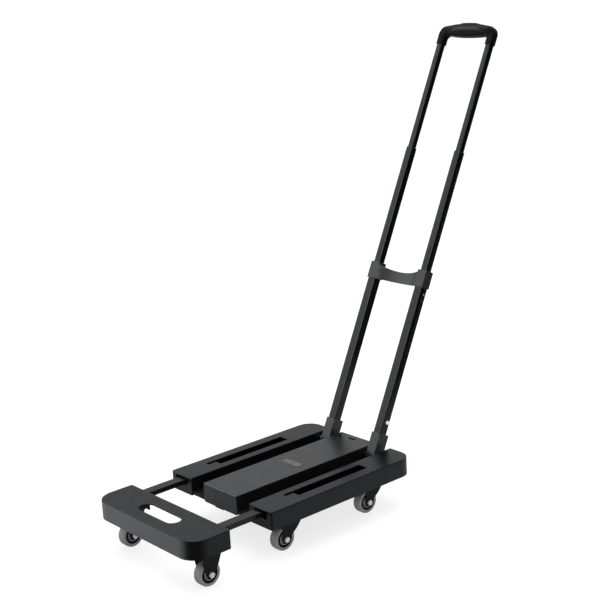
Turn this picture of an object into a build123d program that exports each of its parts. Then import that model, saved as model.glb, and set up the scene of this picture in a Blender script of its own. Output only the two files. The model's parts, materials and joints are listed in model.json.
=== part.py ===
from build123d import *
import math
import os

# Folding luggage cart. Millimetres, +Z up, +X to the cart's right, -Y towards the front plate.
# Everything is drawn with Y = 0 at the deck's front edge and Z = 0 on the floor, and then moved
# along Y so that the origin lies on the floor under the middle of the whole cart.

# ---- driving dimensions: deck ----
DECK_HALF = 161.5          # half the deck's width
DECK_LENGTH = 388.5
DECK_TOP = 111.0           # top of the two wings
SKIRT_Z = 73.0             # lower edge of every skirt
WALL = 3.0                 # thickness of the moulded walls
EDGE_R = 1.6               # rounding of the moulded top edges
WING_INNER = 94.0          # inner side of each wing, towards the channel
REAR_CORNER_R = 33.0
BOX_HALF = 52.5            # half width of the raised centre box
BOX_TOP = 113.0
BOX_LENGTH = 386.0
TRAY_BOTTOM = 79.0
TRAY_TOP = 82.0
TRAY_REAR = 383.0
RIB_BOTTOM = 74.5
RIB_HALF = 1.0
TRAY_RIBS = ((-62, -20, 20, 62), (128, 190, 252))     # across and along
TOP_WALL = 3.5             # thickness of the wings' tops
SLOT_X = (112.0, 137.0)    # long slot in each wing, over the extension tube
SLOT_Y = (91.5, 279.0)
SLOT_TIP = (9.0, 20.5)     # width and length of the slot's narrow front end
WINDOW_X = (109.0, 146.0)  # opening in each wing's front, for the extension tube
WINDOW_Z = (91.7, 107.3)
RELEASE_AT = (-4.0, 369.5) # small slot near the rear of the centre box
RELEASE_HALF, RELEASE_R = 7.0, 3.5
PAD_X = (-21.0, 5.0)       # lip under the tray's front edge
NAMEPLATE_AT = (1.0, 194.5)
NAMEPLATE_SIZE = (64.0, 28.0)
NAMEPLATE_T = 0.5

# ---- driving dimensions: front plate on its two tubes ----
PLATE_GAP = 99.0           # from the deck's front edge to the plate, pulled out
PLATE_LENGTH = 91.5
PLATE_CORNER_R = 39.0
HAND_HALF = 43.0           # hand hole: half the distance between its two round ends
HAND_R = 16.0
PLATE_REAR_Z = 87.0        # the rear wall stays short between the two side boxes
BOX_WALL_X = (102.0, 105.0)           # inner wall of each side box, around tube and caster
PLATE_RIBS = (-80, -40, 0, 40, 80)
PLATE_RIB_Z = 92.0         # lower edge of the ribs under the plate's front band
RAIL_X = (111.0, 134.5)    # extension tube, flat rectangular section
RAIL_Z = (94.3, 105.0)
RAIL_WALL = 1.5
RAIL_REAR = 62.0
SLEEVE_Y = (20.0, 60.0)    # guide sleeve inside each wing
SLEEVE_GAP = 0.3
SLEEVE_WALL = 3.5
EXTENSION_TRAVEL = 95.0
TUBE_INSET = 13.0          # from the plate's front face to the tubes' front ends

# ---- driving dimensions: handle, measured along it from its pivot ----
PIVOT_Y = 361.5
PIVOT_Z = 97.0
LEAN = 25.65               # degrees back from upright
FOLD_RANGE = 110.0
TUBE_X = 70.9              # from the middle to the centre of either handle tube
LOWER_W, MID_W, UPPER_W = 20.4, 17.1, 14.2
LOWER_R, MID_R, UPPER_R = 2.0, 2.2, 2.4
TUBE_WALL = 1.0
SOCKET_TOP = 47.7
SOCKET_N = (-12.5, 16.5)   # socket's front and rear faces
SOCKET_HALF = 12.2
HEEL_S = -4.0              # heel behind the pivot, which leans on the tray's ledge
BRACE_S = (372.0, 409.0)
BRACE_HALF = (12.6, 12.2)
DIP = (5.5, 12.5)          # how far the web lies below the sleeves, at its ends and in the middle
STEP_S = 677.3             # top of the middle tubes
MID_FOOT, UPPER_FOOT = 346.0, 625.0   # lower ends of the middle and the upper tubes
GRIP_S = 920.2             # lower end of the grip's legs
GRIP_TOP = 968.0
GRIP_UNDER = 941.2         # underside of the hand bar
GRIP_CORNER_R = 20.0
ARMPIT_R = 8.0             # rounding where the bar meets a leg
LEG_HALF = 9.5             # half width of a leg; it is 9 mm deep to either side
LEG_DEPTH, BAR_DEPTH = 9.0, 12.0
SOFT_HALF = 52.0           # half length of the soft insert
KEY_HALF = (26.0, 6.5)     # release key in the grip
KEY_GAP = 0.3
MID_TRAVEL = 255.0
UPPER_TRAVEL = 235.0
BUTTON_TRAVEL = 4.0
FOLD_BUTTON_S = 74.0
FOLD_BUTTON_R = 4.3
FOLD_BUTTON_TRAVEL = 2.0
RIVET_S = 358.0
SIDE_N = 2.5               # how far behind the tube's middle its buttons and rivets sit
SHAFT_R = 4.0

# ---- driving dimensions: casters ----
WHEEL_R = 25.0
WHEEL_W = 19.6
HUB_R = 17.6
AXLE_R = 3.0
RUN_GAP = 0.06             # radial clearance of every running fit
FORK_T = 2.0
FORK_TOP = 72.2            # below the skirts, so that the yoke can turn
FORK_GAP = 1.8             # between the wheel and either arm
FORK_INNER = WHEEL_W / 2 + FORK_GAP
FORK_BOSS_R = 8.5          # round end of an arm, about the axle
BOLT_HEX = 5.8             # corner radius of the bolt's head and nut
BOLT_HEAD = 4.0
RACE_R = 14.0
KINGPIN_R = 4.0
CASTERS = {                # wheel centre X and Y, how far the swivel axis stands behind it, yoke radius
    "front_left": (-126.0, -134.5, 6.5, 21.5),
    "front_right": (126.0, -134.5, 6.5, 21.5),
    "middle_left": (-115.0, 110.5, -25.0, 24.0),
    "middle_right": (115.0, 60.5, 25.0, 24.0),
    "rear_left": (-108.5, 294.5, 25.0, 24.0),
    "rear_right": (108.5, 294.5, 25.0, 24.0),
}
PLATE_T = 2.5              # caster mounting plate
PLATE_SIZE = (46.0, 42.0)
PLATE_HOLES = (34.0, 30.0)
SCREW_R = 2.0
SCREW_HEAD = (3.6, 1.8)    # radius and height
POST_R = 4.5               # posts that the screws are driven into
THREAD = (12.0, 8.0)       # depth of the screws in the deck's posts and in the plate's

LEANING = Pos(0, PIVOT_Y, PIVOT_Z) * Rot(-LEAN, 0, 0)


def slab(x, y, z):
    """A block between two limits on each axis."""
    size = [abs(b - a) for a, b in (x, y, z)]
    return Pos(*[(a + b) / 2 for a, b in (x, y, z)]) * Box(*size)


def post(x, y, z, r):
    """An upright cylinder."""
    return Pos(x, y, (z[0] + z[1]) / 2) * Cylinder(r, z[1] - z[0])


def bar(x, y, z, r):
    """A cylinder lying across the cart, along X."""
    return Pos((x[0] + x[1]) / 2, y, z) * Rot(0, 90, 0) * Cylinder(r, abs(x[1] - x[0]))


def plan(x, y, radii):
    """A rectangle seen from above, with radii front left, front right, rear right, rear left."""
    corners = [(x[0], y[0]), (x[1], y[0]), (x[1], y[1]), (x[0], y[1])]
    face = make_face(Polyline(*corners, close=True))
    for corner, radius in zip(corners, radii):
        nearest = face.vertices().sort_by_distance(Vector(*corner, 0))[0]
        face = fillet(nearest, radius)
    return face


def raised(face, z):
    """A plan pushed up between two heights."""
    return Pos(0, 0, z[0]) * extrude(face, z[1] - z[0])


def soft_top(solid, z, radius=EDGE_R):
    """Rounds the edges that lie in the plane at height z."""
    edges = solid.edges().filter_by_position(Axis.Z, z - 0.01, z + 0.01)
    return fillet(edges, radius)


def pill(half, radius):
    """A slot-shaped face with its ends along X."""
    return SlotCenterToCenter(2 * half, 2 * radius)


# ---------------------------------------------------------------- deck
def tray_plan():
    return plan((-DECK_HALF + WALL, DECK_HALF - WALL), (WALL, TRAY_REAR), (3, 3, 28, 28))


def stop_ledge(side):
    """The ledge behind each channel that the socket's heel leans on."""
    wedge = slab((side * TUBE_X - 10, side * TUBE_X + 10), (12.9, 19), (-16, HEEL_S - 0.05))
    above_floor = slab((-100, 100), (300, TRAY_REAR), (TRAY_TOP - 1, 100))
    return (LEANING * wedge) & above_floor


def base_tray():
    floor = raised(tray_plan(), (RIB_BOTTOM, TRAY_TOP))
    hollow = raised(offset(tray_plan(), -2.5), (RIB_BOTTOM - 1, TRAY_BOTTOM))
    tray = floor - hollow
    inside = raised(offset(tray_plan(), -1), (RIB_BOTTOM, TRAY_BOTTOM + 0.5))
    heights = (RIB_BOTTOM, TRAY_BOTTOM + 0.5)
    ribs = [slab((x - RIB_HALF, x + RIB_HALF), (0, DECK_LENGTH), heights) for x in TRAY_RIBS[0]]
    ribs += [slab((-DECK_HALF, DECK_HALF), (y - RIB_HALF, y + RIB_HALF), heights) for y in TRAY_RIBS[1]]
    for rib in ribs:
        tray += rib & inside
    for side in (-1, 1):
        tray += stop_ledge(side)
    tray += slab(PAD_X, (WALL, 14), (SKIRT_Z - 4, RIB_BOTTOM + 1))
    for x, y in SHELL_SCREWS:
        tray += post(x, y, (RIB_BOTTOM, TRAY_BOTTOM + 0.5), POST_R)
    for x, y, axis_y in BASE_CASTERS:
        for dx, dy in PLATE_CORNERS:
            tray -= post(x + dx, axis_y + dy, (TRAY_BOTTOM - 1, TRAY_TOP + 1), SCREW_R)
    for x, y in SHELL_SCREWS:
        tray -= post(x, y, (RIB_BOTTOM - 1, TRAY_TOP + 1), SCREW_R)
    return tray


def shell_bosses(top):
    """Screw posts that stand on the tray, under a moulded top."""
    return [(x, y, post(x, y, (TRAY_TOP, top), POST_R)) for x, y in SHELL_SCREWS]


def wing_shell(side):
    low, high = sorted((side * WING_INNER, side * DECK_HALF))
    outer_rear, outer_front = REAR_CORNER_R, 5.0
    radii = (2, outer_front, outer_rear, 2) if side > 0 else (outer_front, 2, 2, outer_rear)
    outline = plan((low, high), (0, DECK_LENGTH), radii)
    shell = soft_top(raised(outline, (SKIRT_Z, DECK_TOP)), DECK_TOP)
    cavity_top = DECK_TOP - TOP_WALL
    cavity = raised(tray_plan(), (SKIRT_Z - 1, cavity_top))
    shell -= cavity & slab((low + WALL, high - WALL), (0, DECK_LENGTH), (SKIRT_Z - 1, cavity_top))
    shell -= raised(tray_plan(), (SKIRT_Z - 1, TRAY_TOP))
    for x, y, boss in shell_bosses(cavity_top + 1):
        if low < x < high:
            shell += boss
            shell -= post(x, y, (TRAY_TOP - 1, TRAY_TOP + THREAD[0]), SCREW_R)
    slot_x = sorted((side * SLOT_X[0], side * SLOT_X[1]))
    shell -= slab(slot_x, SLOT_Y, (cavity_top - 1, DECK_TOP + 1))
    tip_x = (slot_x[0], slot_x[0] + SLOT_TIP[0])
    shell -= slab(tip_x, (SLOT_Y[0] - SLOT_TIP[1], SLOT_Y[0] + 1), (cavity_top - 1, DECK_TOP + 1))
    window_x = (side * WINDOW_X[0], side * WINDOW_X[1])
    shell -= slab(window_x, (-1, WALL + 1), WINDOW_Z)
    shell -= bar((side * (WING_INNER - 1), side * (WING_INNER + WALL + 1)), PIVOT_Y, PIVOT_Z, SHAFT_R)
    return shell


def centre_box_cover():
    outline = plan((-BOX_HALF, BOX_HALF), (0, BOX_LENGTH), (2, 2, 2, 2))
    cover = soft_top(raised(outline, (SKIRT_Z, BOX_TOP)), BOX_TOP)
    cover -= slab((-BOX_HALF + WALL, BOX_HALF - WALL), (WALL, TRAY_REAR), (SKIRT_Z - 1, BOX_TOP - WALL))
    cover -= slab((-BOX_HALF - 1, BOX_HALF + 1), (WALL, TRAY_REAR), (SKIRT_Z - 1, TRAY_TOP))
    for x, y, boss in shell_bosses(BOX_TOP - WALL + 1):
        if abs(x) < BOX_HALF:
            cover += boss
            cover -= post(x, y, (TRAY_TOP - 1, TRAY_TOP + THREAD[0]), SCREW_R)
    release_face = pill(RELEASE_HALF, RELEASE_R)
    cover -= Pos(*RELEASE_AT, BOX_TOP - WALL - 1) * extrude(release_face, WALL + 2)
    cover -= bar((-BOX_HALF - 1, BOX_HALF + 1), PIVOT_Y, PIVOT_Z, SHAFT_R)
    return cover - nameplate()


def nameplate():
    """Blank label, let in flush with the top of the box."""
    face = RectangleRounded(*NAMEPLATE_SIZE, 2)
    return Pos(*NAMEPLATE_AT, BOX_TOP - NAMEPLATE_T) * extrude(face, NAMEPLATE_T)


def guide_sleeves():
    sleeves = []
    for side in (-1, 1):
        x = (side * (RAIL_X[0] - SLEEVE_WALL), side * (RAIL_X[1] + SLEEVE_WALL))
        hole_x = (side * (RAIL_X[0] - SLEEVE_GAP), side * (RAIL_X[1] + SLEEVE_GAP))
        block = slab(x, SLEEVE_Y, (TRAY_TOP, DECK_TOP - TOP_WALL))
        sleeves.append(block - slab(hole_x, (0, 100), (RAIL_Z[0] - SLEEVE_GAP, RAIL_Z[1] + SLEEVE_GAP)))
    return sleeves


def pivot_shaft():
    return bar((-WING_INNER - WALL - 4, WING_INNER + WALL + 4), PIVOT_Y, PIVOT_Z, SHAFT_R)


# ---------------------------------------------------------------- fasteners
def screw(x, y, head_z, tip_z):
    """A pan-head screw driven upwards, with a cross recess."""
    shank = post(x, y, (head_z, tip_z), SCREW_R)
    radius, height = SCREW_HEAD
    head = post(x, y, (head_z - height, head_z), radius)
    recess_z = (head_z - height - 1, head_z - height + 1)
    cross = slab((x - 2, x + 2), (y - 0.4, y + 0.4), recess_z)
    cross += slab((x - 0.4, x + 0.4), (y - 2, y + 2), recess_z)
    return shank + head - cross


def base_fasteners():
    pieces = [screw(x, y, RIB_BOTTOM, TRAY_TOP + THREAD[0]) for x, y in SHELL_SCREWS]
    for x, y, axis_y in BASE_CASTERS:
        pieces += [screw(x + dx, axis_y + dy, TRAY_BOTTOM - PLATE_T, TRAY_TOP) for dx, dy in PLATE_CORNERS]
    for side in (-1, 1):
        cap = bar((side * (WING_INNER + WALL), side * (WING_INNER + WALL + 2.5)), PIVOT_Y, PIVOT_Z, 7.5)
        pieces.append(cap - pivot_shaft())
    return pieces


def front_fasteners():
    pieces = [screw(x, y, RIB_BOTTOM, TRAY_TOP + THREAD[1]) for x, y in PLATE_SCREWS]
    for x, y, axis_y in FRONT_CASTERS:
        pieces += [screw(x + dx, axis_y + dy, TRAY_BOTTOM - PLATE_T, TRAY_TOP) for dx, dy in PLATE_CORNERS]
    return pieces


# ---------------------------------------------------------------- front plate
def plate_limits():
    return (-DECK_HALF, DECK_HALF), (-PLATE_GAP - PLATE_LENGTH, -PLATE_GAP)


def inner_plate_plan():
    x, y = plate_limits()
    r = PLATE_CORNER_R - WALL
    return plan((x[0] + WALL, x[1] - WALL), (y[0] + WALL, y[1] - WALL), (r, r, 2, 2))


def plate_shell():
    """Top and skirts in one; a box at either side holds a tube and a caster, the middle is open below."""
    x, y = plate_limits()
    outline = plan(x, y, (PLATE_CORNER_R, PLATE_CORNER_R, 4, 4))
    skin_bottom = DECK_TOP - WALL
    inside = raised(inner_plate_plan(), (SKIRT_Z - 1, skin_bottom))
    shell = raised(outline, (SKIRT_Z, DECK_TOP)) - inside
    middle = (y[0] + y[1]) / 2
    shell -= Pos(0, middle, SKIRT_Z) * extrude(pill(HAND_HALF, HAND_R), DECK_TOP)
    shell = soft_top(shell, DECK_TOP)
    shell -= slab((-BOX_WALL_X[0], BOX_WALL_X[0]), (y[1] - WALL - 1, y[1] + 1), (SKIRT_Z - 1, PLATE_REAR_Z))
    for side in (-1, 1):
        wall_x = sorted((side * BOX_WALL_X[0], side * BOX_WALL_X[1]))
        shell += slab(wall_x, (y[0] + 1, y[1] - 1), (TRAY_BOTTOM, skin_bottom + 1))
    for rib_x in PLATE_RIBS:
        rib_y = (y[0] + 1, middle - HAND_R - 4)
        shell += slab((rib_x - RIB_HALF, rib_x + RIB_HALF), rib_y, (PLATE_RIB_Z, skin_bottom + 1))
    for sx, sy in PLATE_SCREWS:
        shell += post(sx, sy, (TRAY_TOP, DECK_TOP - 2), POST_R)
        shell -= post(sx, sy, (TRAY_TOP - 1, TRAY_TOP + THREAD[1]), SCREW_R)
    for side in (-1, 1):
        shell -= slab((side * RAIL_X[0], side * RAIL_X[1]), (y[1] - WALL - 1, y[1] + 1), RAIL_Z)
    return shell


def plate_covers():
    """Floors of the two side boxes, which carry the front casters."""
    x, y = plate_limits()
    whole = raised(inner_plate_plan(), (TRAY_BOTTOM, TRAY_TOP))
    covers = []
    for side in (-1, 1):
        limits = sorted((side * BOX_WALL_X[1], side * DECK_HALF))
        cover = whole & slab(limits, (y[0], y[1]), (TRAY_BOTTOM - 1, TRAY_TOP + 1))
        for sx, sy in PLATE_SCREWS:
            if limits[0] < sx < limits[1]:
                cover += post(sx, sy, (RIB_BOTTOM, TRAY_BOTTOM + 0.5), POST_R)
                cover -= post(sx, sy, (RIB_BOTTOM - 1, TRAY_TOP + 1), SCREW_R)
        for cx, cy, axis_y in FRONT_CASTERS:
            if limits[0] < cx < limits[1]:
                for dx, dy in PLATE_CORNERS:
                    cover -= post(cx + dx, axis_y + dy, (TRAY_BOTTOM - 1, TRAY_TOP + 1), SCREW_R)
        covers.append(cover)
    return covers


def extension_tube(side):
    front = -PLATE_GAP - PLATE_LENGTH + TUBE_INSET
    outer = slab((side * RAIL_X[0], side * RAIL_X[1]), (front, RAIL_REAR), RAIL_Z)
    outer = fillet(outer.edges().filter_by(Axis.Y), 1.2)
    inner_x = (side * (RAIL_X[0] + RAIL_WALL), side * (RAIL_X[1] - RAIL_WALL))
    inner_z = (RAIL_Z[0] + RAIL_WALL, RAIL_Z[1] - RAIL_WALL)
    return outer - slab(inner_x, (front - 1, RAIL_REAR + 1), inner_z)


def extension_end_stops():
    stops = []
    for side in (-1, 1):
        cap = slab((side * (RAIL_X[0] - 2), side * (RAIL_X[1] + 2)), (SLEEVE_Y[1] + 0.3, SLEEVE_Y[1] + 10),
                   (RAIL_Z[0] - 2, RAIL_Z[1] + 1.5))
        tube = slab((side * RAIL_X[0], side * RAIL_X[1]), (0, RAIL_REAR), RAIL_Z)
        plug = slab((side * (RAIL_X[0] + RAIL_WALL), side * (RAIL_X[1] - RAIL_WALL)), (46, RAIL_REAR + 1),
                    (RAIL_Z[0] + RAIL_WALL, RAIL_Z[1] - RAIL_WALL))
        stops.append(cap - tube + plug)
    return stops


# ---------------------------------------------------------------- handle
def square_bar(width, radius, s, x=0.0):
    """A square bar along the handle, with rounded edges."""
    return Pos(x, 0, s[0]) * extrude(RectangleRounded(width, width, radius), s[1] - s[0])


def square_tube(side, width, radius, s, groove):
    """A square tube along the handle; a shallow groove may run down its outer side."""
    outer = square_bar(width, radius, s)
    inner = square_bar(width - 2 * TUBE_WALL, radius - 0.8, (s[0] - 1, s[1] + 1))
    tube = outer - inner
    if groove:
        tube -= slab((side * (width / 2 - 0.45), side * (width / 2 + 1)), (0.6, 2.4), (s[0] - 1, s[1] + 1))
    return Pos(side * TUBE_X, 0, 0) * tube


def handle_socket(side):
    front, rear = SOCKET_N
    body = slab((-SOCKET_HALF, SOCKET_HALF), (front, rear), (0, SOCKET_TOP))
    body = fillet(body.edges().filter_by(Axis.Z), 1.2)
    round_end = Rot(0, 90, 0) * Cylinder(-front, 2 * SOCKET_HALF)
    heel = slab((-SOCKET_HALF, SOCKET_HALF), (11, rear), (HEEL_S, 6))
    socket = body + round_end + heel
    socket -= square_bar(LOWER_W, LOWER_R, (14, SOCKET_TOP + 1))
    for face in (-1, 1):
        relief = Pos(face * SOCKET_HALF, 2, 29) * Box(1.4, 17, 28)
        rib = Pos(face * SOCKET_HALF, 2, 26) * Box(1.4, 4, 34)
        socket -= relief - rib
    socket -= Rot(0, 90, 0) * Cylinder(SHAFT_R + RUN_GAP, 60)
    return Pos(side * TUBE_X, 0, 0) * socket


def lower_tube(side):
    tube = square_tube(side, LOWER_W, LOWER_R, (14, BRACE_S[1] - 2), True)
    wall_x = (side * (TUBE_X + LOWER_W / 2 - 3), side * (TUBE_X + LOWER_W / 2 + 1))
    tube -= bar(wall_x, SIDE_N, FOLD_BUTTON_S, FOLD_BUTTON_R + RUN_GAP)
    tube -= bar(wall_x, SIDE_N, RIVET_S, 1.2)
    return tube


def fold_button(side):
    face = TUBE_X + LOWER_W / 2
    stem = bar((side * (face - 1.6), side * (face + 2.0)), SIDE_N, FOLD_BUTTON_S, FOLD_BUTTON_R)
    dome = stem.edges().filter_by(GeomType.CIRCLE).sort_by(Axis.X)[-1 if side > 0 else 0]
    stem = fillet(dome, 1.2)
    flange = bar((side * (face - 3.4), side * (face - 1.4)), SIDE_N, FOLD_BUTTON_S, FOLD_BUTTON_R + 1.3)
    return stem + flange


def cross_brace():
    half_x, half_n = BRACE_HALF
    bottom, top = BRACE_S
    end = TUBE_X - half_x + 1
    front = ThreePointArc((-end, -half_n), (0, 0.8), (end, -half_n))
    back = ThreePointArc((end, -half_n + 6.5), (0, 6.4), (-end, -half_n + 6.5))
    closing = [Line(front @ 1, back @ 0), Line(back @ 1, front @ 0)]
    web = Pos(0, 0, bottom) * extrude(make_face([front, back] + closing), top - bottom)
    dip = ThreePointArc((-end, top - DIP[0]), (0, top - DIP[1]), (end, top - DIP[0]))
    over = Polyline(dip @ 1, (end, top + 5), (-end, top + 5), dip @ 0)
    web -= Pos(0, 30, 0) * extrude(Plane.XZ * make_face([dip, over]), 60)
    brace = web
    for side in (-1, 1):
        sleeve = slab((-half_x, half_x), (-half_n, half_n), BRACE_S)
        brace += Pos(side * TUBE_X, 0, 0) * fillet(sleeve.edges().filter_by(Axis.Z), 2.0)
    for side in (-1, 1):
        brace -= square_bar(LOWER_W, LOWER_R, (bottom - 1, top - 2), side * TUBE_X)
        brace -= square_bar(MID_W + 0.5, MID_R, (top - 3, top + 1), side * TUBE_X)
    return brace


def stop_rivets():
    rivets = []
    for side in (-1, 1):
        face = TUBE_X + LOWER_W / 2
        head = bar((side * face, side * (face + 0.9)), SIDE_N, RIVET_S, 2.0)
        shank = bar((side * (face - TUBE_WALL), side * face), SIDE_N, RIVET_S, 1.2)
        rivets.append(head + shank)
    return rivets


def foot_plugs(width, tube_width, bottom, height, neck):
    """Plastic plugs in the lower ends of a pair of tubes, which guide them in the tubes outside."""
    plugs = []
    for side in (-1, 1):
        shoe = square_bar(width, 1.5, (bottom, bottom + height), side * TUBE_X)
        stub = square_bar(tube_width - 2 * TUBE_WALL - 0.2, UPPER_R - 0.8,
                          (bottom + height - 0.5, bottom + height + neck), side * TUBE_X)
        plugs.append(shoe + stub)
    return plugs


def head_caps():
    caps = []
    for side in (-1, 1):
        cap = square_bar(MID_W, MID_R, (STEP_S - 2, STEP_S), side * TUBE_X)
        caps.append(cap - square_bar(UPPER_W + 0.5, UPPER_R, (STEP_S - 3, STEP_S + 1), side * TUBE_X))
    return caps


def grip_blank():
    """The grip as one block, before it is hollowed and parted into two shells."""
    out, into = TUBE_X + LEG_HALF, TUBE_X - LEG_HALF
    corner, pit, under = GRIP_CORNER_R, ARMPIT_R, GRIP_UNDER
    side_top = GRIP_TOP - 6.0 - corner
    right = [
        Line((out, GRIP_S), (out, side_top)),
        CenterArc((out - corner, side_top), corner, 0, 80),
    ]
    top_end = right[1] @ 1
    crown = ThreePointArc(top_end, (0, GRIP_TOP), (-top_end.X, top_end.Y))
    left = [
        CenterArc((-out + corner, side_top), corner, 100, 80),
        Line((-out, side_top), (-out, GRIP_S)),
    ]
    inner = [
        Line((-out, GRIP_S), (-into, GRIP_S)),
        Line((-into, GRIP_S), (-into, under - pit)),
        CenterArc((-into + pit, under - pit), pit, 90, 90),
        Line((-into + pit, under), (into - pit, under)),
        CenterArc((into - pit, under - pit), pit, 0, 90),
        Line((into, under - pit), (into, GRIP_S)),
        Line((into, GRIP_S), (out, GRIP_S)),
    ]
    face = Plane.XZ * make_face(Wire(right + [crown] + left + inner))
    blank = extrude(face, BAR_DEPTH, both=True)
    for n in (-1, 1):
        beyond = (n * LEG_DEPTH, n * (BAR_DEPTH + 1))
        blank -= slab((-out - 1, out + 1), beyond, (GRIP_S - 1, under - 6))
    return blank


def grip_cavity():
    """Room inside the grip for the tube ends, the release link and the button."""
    cavity = slab((-74, 74), (-4, 4), (GRIP_TOP - 25.5, GRIP_TOP - 16))
    for side in (-1, 1):
        cavity += square_bar(UPPER_W, UPPER_R, (GRIP_S - 1, GRIP_S + 17), side * TUBE_X)
        cavity += slab((side * 66, side * 75), (-4, 4), (GRIP_S + 16, GRIP_TOP - 16))
    half_x, half_n = (half + KEY_GAP for half in KEY_HALF)
    cavity += slab((-half_x, half_x), (-half_n, half_n), (GRIP_TOP - 22.3, GRIP_TOP + 5))
    return cavity


def soft_grip_blank():
    half, under = SOFT_HALF, GRIP_UNDER
    belly = ThreePointArc((-half, under), (0, under - 5.5), (half, under))
    rim = Polyline(belly @ 1, (half, under + 9), (-half, under + 9), belly @ 0)
    return extrude(Plane.XZ * make_face([belly, rim]), BAR_DEPTH + 0.9, both=True)


def soft_grip():
    depth = BAR_DEPTH - 1
    inside = slab((-SOFT_HALF - 8, SOFT_HALF + 8), (-depth, depth), (GRIP_UNDER, GRIP_UNDER + 20))
    return soft_grip_blank() - inside


def grip_shells():
    whole = grip_blank() - grip_cavity() - soft_grip()
    front = whole & slab((-100, 100), (-20, 0), (GRIP_S - 5, GRIP_TOP + 5))
    rear = whole & slab((-100, 100), (0, 20), (GRIP_S - 5, GRIP_TOP + 5))
    return front, rear


def grip_button():
    half_x, half_n = KEY_HALF
    key = slab((-half_x, half_x), (-half_n, half_n), (GRIP_TOP - 18, GRIP_TOP + 2.2))
    upper = key.edges().filter_by_position(Axis.Z, GRIP_TOP + 2.1, GRIP_TOP + 2.3)
    return fillet(upper, 1.5)


def release_link():
    link = slab((-TUBE_X - 2, TUBE_X + 2), (-3, 3), (GRIP_TOP - 21, GRIP_TOP - 18))
    for side in (-1, 1):
        link += post(side * TUBE_X, 0, (640, GRIP_TOP - 20), 2.0)
    return link


# ---------------------------------------------------------------- casters
def caster_plates(spots):
    plates = []
    for x, y, axis_y in spots:
        plate = Pos(x, axis_y, TRAY_BOTTOM - PLATE_T) * extrude(RectangleRounded(*PLATE_SIZE, 5), PLATE_T)
        race = post(x, axis_y, (FORK_TOP + 0.3, TRAY_BOTTOM - PLATE_T), RACE_R)
        plate += race
        plate -= post(x, axis_y, (FORK_TOP - 1, TRAY_BOTTOM + 1), KINGPIN_R + RUN_GAP)
        for dx, dy in PLATE_CORNERS:
            plate -= post(x + dx, axis_y + dy, (TRAY_BOTTOM - 4, TRAY_BOTTOM + 1), SCREW_R)
        plates.append(plate)
    return plates


def fork_profile(trail, half):
    """Side view of an arm, with the wheel's centre at Y = 0 and the swivel axis behind it."""
    front, rear, boss = trail - half, trail + half, FORK_BOSS_R
    reach = rear - boss
    back = [(rear, FORK_TOP), (rear - 0.10 * reach, 61.0), (rear - 0.27 * reach, 52.0),
            (rear - 0.47 * reach, 42.5), (rear - 0.74 * reach, 33.5), (boss, WHEEL_R)]
    waist = min(-7.0 - 0.49 * (WHEEL_R - trail), front - 1.0)
    lead = [(-boss, WHEEL_R), (0.6 * waist - 0.4 * boss, 36.0), (waist, 48.0), (front, FORK_TOP)]
    edges = [Line((front, FORK_TOP), (rear, FORK_TOP)), Spline(*back),
             ThreePointArc((boss, WHEEL_R), (0, WHEEL_R - boss), (-boss, WHEEL_R)), Spline(*lead)]
    return Plane.YZ * make_face(edges)


def caster_fork(x, y, trail, half):
    """Pressed fork: a round yoke with a kingpin, and two arms that taper down to the axle."""
    turned = trail < 0
    trail = abs(trail)
    profile = fork_profile(trail, half)
    outer = FORK_INNER + FORK_T
    fork = post(0, trail, (FORK_TOP - FORK_T, FORK_TOP), half)
    fork &= slab((-outer, outer), (-100, 100), (0, 100))
    for side in (-1, 1):
        fork += Pos(FORK_INNER if side > 0 else -outer, 0, 0) * extrude(profile, FORK_T)
    fork += post(0, trail, (FORK_TOP - 1, TRAY_BOTTOM - 0.3), KINGPIN_R)
    fork -= bar((-30, 30), 0, WHEEL_R, AXLE_R)
    return Pos(x, y, 0) * Rot(0, 0, 180 if turned else 0) * fork


def caster_axle(x, y):
    """Bolt through both arms, its hexagon head on the right and its nut on the left."""
    face = FORK_INNER + FORK_T
    axle = bar((-face - 5, face + 1), 0, WHEEL_R, AXLE_R)
    hexagon = Plane.YZ * RegularPolygon(BOLT_HEX, 6)
    head = Pos(face, 0, WHEEL_R) * extrude(hexagon, BOLT_HEAD)
    nut = Pos(-face - BOLT_HEAD, 0, WHEEL_R) * extrude(hexagon, BOLT_HEAD)
    return Pos(x, y, 0) * (axle + head + nut)


def ring(outer, inner, width):
    return Rot(0, 90, 0) * (Cylinder(outer, width) - Cylinder(inner, width + 2))


def caster_hub(x, y):
    hub = ring(HUB_R, AXLE_R + RUN_GAP, WHEEL_W - 2.0)
    for side in (-1, 1):
        hub -= Pos(side * (WHEEL_W / 2 - 1), 0, 0) * ring(HUB_R - 1.6, 11.6, 8)
        hub -= Pos(side * (WHEEL_W / 2 - 1), 0, 0) * ring(8.6, 5.6, 5)
    return Pos(x, y, WHEEL_R) * hub


def caster_tyre(x, y):
    tyre = ring(WHEEL_R, HUB_R, WHEEL_W)
    rims = tyre.edges().filter_by(GeomType.CIRCLE).group_by(SortBy.RADIUS)[-1]
    return Pos(x, y, WHEEL_R) * fillet(rims, 3.0)


# ---------------------------------------------------------------- places that several pieces share
PLATE_CORNERS = [(sx * PLATE_HOLES[0] / 2, sy * PLATE_HOLES[1] / 2) for sx in (-1, 1) for sy in (-1, 1)]
SPOTS = {name: (x, y, y + trail) for name, (x, y, trail, _) in CASTERS.items()}
BASE_CASTERS = [spot for name, spot in SPOTS.items() if not name.startswith("front")]
FRONT_CASTERS = [spot for name, spot in SPOTS.items() if name.startswith("front")]
SHELL_SCREWS = [(side * x, y) for side in (-1, 1) for x, y in (
    (151, 22), (151, 150), (151, 262), (100.5, 112), (100.5, 228), (36, 30), (36, 200), (36, 340))]
PLATE_SCREWS = [(side * x, -PLATE_GAP - dy) for side in (-1, 1) for x, dy in ((110.5, 83.5), (153, 8))]


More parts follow.
